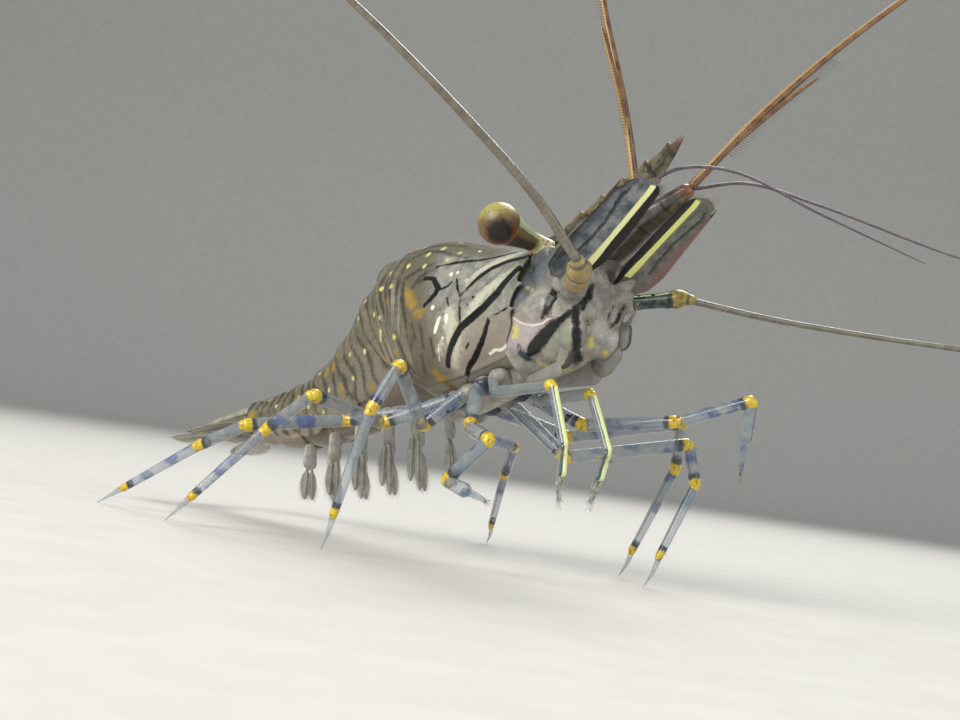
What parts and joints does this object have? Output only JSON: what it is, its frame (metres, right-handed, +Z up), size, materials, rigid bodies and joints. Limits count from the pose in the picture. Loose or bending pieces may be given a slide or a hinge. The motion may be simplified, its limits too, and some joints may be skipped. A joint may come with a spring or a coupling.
{
  "type": "shrimp",
  "caption": "Life-size rockpool prawn standing on its legs, with stalked eyes, toothed rostrum, long feelers, small pincers and a humped, banded tail.",
  "frame": {"origin": "middle of the bounding box at floor level, under the animal", "axes": "+Z up, the animal faces -Y, its left side is +X"},
  "size_m": [0.0864, 0.0466, 0.0418],
  "materials": {
    "carapace_shell": "translucent grey shell with black, cream and orange markings, slightly glossy",
    "glassy_shell": "clear grey shell, slightly glossy",
    "leg_shell": "clear blue-grey shell with yellow and dark bands at the joints",
    "feeler": "ringed brown, satin",
    "cornea": "olive-gold faceted eye with a dark centre, wet gloss"
  },
  "bodies": {
    "root": {"carapace": "carapace_shell", "head": "glassy_shell", "thorax_underside": "glassy_shell", "mouthparts": "glassy_shell", "rostrum": "carapace_shell", "eyestalk_left": "glassy_shell", "eye_left": "cornea", "antennule_peduncle_left": "glassy_shell", "antennule_outer_flagellum_left": "feeler", "antennule_short_ramus_left": "feeler", "antennule_inner_flagellum_left": "feeler", "antenna_scale_left": "glassy_shell", "antenna_peduncle_left": "glassy_shell", "antenna_flagellum_left": "feeler", "eyestalk_right": "glassy_shell", "eye_right": "cornea", "antennule_peduncle_right": "glassy_shell", "antennule_outer_flagellum_right": "feeler", "antennule_short_ramus_right": "feeler", "antennule_inner_flagellum_right": "feeler", "antenna_scale_right": "glassy_shell", "antenna_peduncle_right": "glassy_shell", "antenna_flagellum_right": "feeler", "maxilliped_left": "glassy_shell", "cheliped_1_left": "leg_shell", "cheliped_2_left": "leg_shell", "maxilliped_right": "glassy_shell", "cheliped_1_right": "leg_shell", "cheliped_2_right": "leg_shell", "abdomen_1": "carapace_shell", "abdomen_2": "carapace_shell", "abdomen_3": "carapace_shell", "abdomen_4": "carapace_shell", "abdomen_5": "carapace_shell", "abdomen_6": "carapace_shell", "telson": "glassy_shell", "uropod_endopod_left": "glassy_shell", "uropod_exopod_left": "glassy_shell", "uropod_endopod_right": "glassy_shell", "uropod_exopod_right": "glassy_shell", "swimmeret_1_left": "glassy_shell", "swimmeret_2_left": "glassy_shell", "swimmeret_3_left": "glassy_shell", "swimmeret_4_left": "glassy_shell", "swimmeret_5_left": "glassy_shell", "swimmeret_1_right": "glassy_shell", "swimmeret_2_right": "glassy_shell", "swimmeret_3_right": "glassy_shell", "swimmeret_4_right": "glassy_shell", "swimmeret_5_right": "glassy_shell", "walking_leg_3_left": "leg_shell", "walking_leg_4_left": "leg_shell", "walking_leg_5_left": "leg_shell", "walking_leg_3_right": "leg_shell", "walking_leg_4_right": "leg_shell", "walking_leg_5_right": "leg_shell"}
  },
  "joints": []
}
